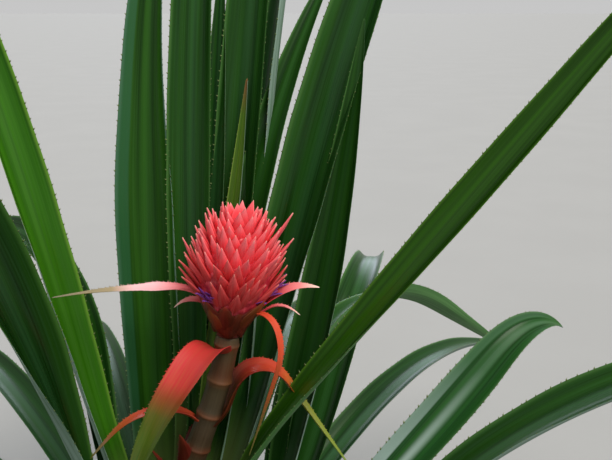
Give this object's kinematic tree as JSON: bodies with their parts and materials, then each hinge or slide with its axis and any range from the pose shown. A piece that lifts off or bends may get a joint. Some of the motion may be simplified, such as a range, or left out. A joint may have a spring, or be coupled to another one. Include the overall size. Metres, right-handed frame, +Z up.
{
  "type": "pineapple plant",
  "caption": "Pineapple plant in flower, a fruit crop: a rosette of long channelled leaves with toothed edges round a bare stalk that bears a spiny red head and long red bracts.",
  "frame": {"origin": "middle of the flat cut under the stem, at ground level", "axes": "+Z up, -Y to the side that the picture shows, +X to the right of it; the flower head leans to +X"},
  "size_m": [1.6325, 1.5932, 1.1608],
  "materials": {
    "stem": "rough fibrous plant stem",
    "stalk": "smooth fleshy flower stalk, brownish grey",
    "head": "waxy coral red flower bracts",
    "bract": "waxy red toothed bracts",
    "leaf": "glossy green leaf with a silvery underside",
    "low_leaf": "dull dark green older leaf with a silvery underside"
  },
  "bodies": {
    "root": {"stem": "stem", "stalk": "stalk", "head": "head", "collar_bract_1": "bract", "collar_bract_2": "bract", "collar_bract_3": "bract", "collar_bract_4": "bract", "collar_bract_5": "bract", "collar_bract_6": "bract", "collar_bract_7": "bract", "collar_bract_8": "bract", "stalk_bract_1": "bract", "stalk_bract_2": "bract", "stalk_bract_3": "bract", "stalk_bract_4": "bract", "stalk_bract_5": "bract", "stalk_bract_6": "bract", "heart_leaf_1": "leaf", "heart_leaf_2": "leaf", "heart_leaf_3": "leaf", "back_leaf_1": "leaf", "back_leaf_2": "leaf", "back_leaf_3": "leaf", "back_leaf_4": "leaf", "back_leaf_5": "leaf", "back_leaf_6": "leaf", "left_leaf_1": "leaf", "left_leaf_2": "leaf", "left_leaf_3": "leaf", "left_leaf_3_end": "leaf", "left_leaf_4": "leaf", "right_leaf_1": "leaf", "right_leaf_2": "leaf", "right_leaf_2_end": "leaf", "right_leaf_3": "leaf", "right_leaf_3_end": "leaf", "right_leaf_4": "leaf", "right_leaf_5": "leaf", "right_leaf_6": "leaf", "low_leaf_1": "low_leaf", "low_leaf_2": "low_leaf", "low_leaf_3": "low_leaf", "low_leaf_4": "low_leaf", "low_leaf_5": "low_leaf", "low_leaf_6": "low_leaf", "low_leaf_7": "low_leaf", "low_leaf_8": "low_leaf", "low_leaf_9": "low_leaf", "low_leaf_10": "low_leaf", "low_leaf_11": "low_leaf", "low_leaf_12": "low_leaf", "low_leaf_13": "low_leaf", "low_leaf_14": "low_leaf", "low_leaf_15": "low_leaf", "low_leaf_16": "low_leaf", "low_leaf_17": "low_leaf", "low_leaf_18": "low_leaf", "low_leaf_19": "low_leaf"}
  },
  "joints": []
}
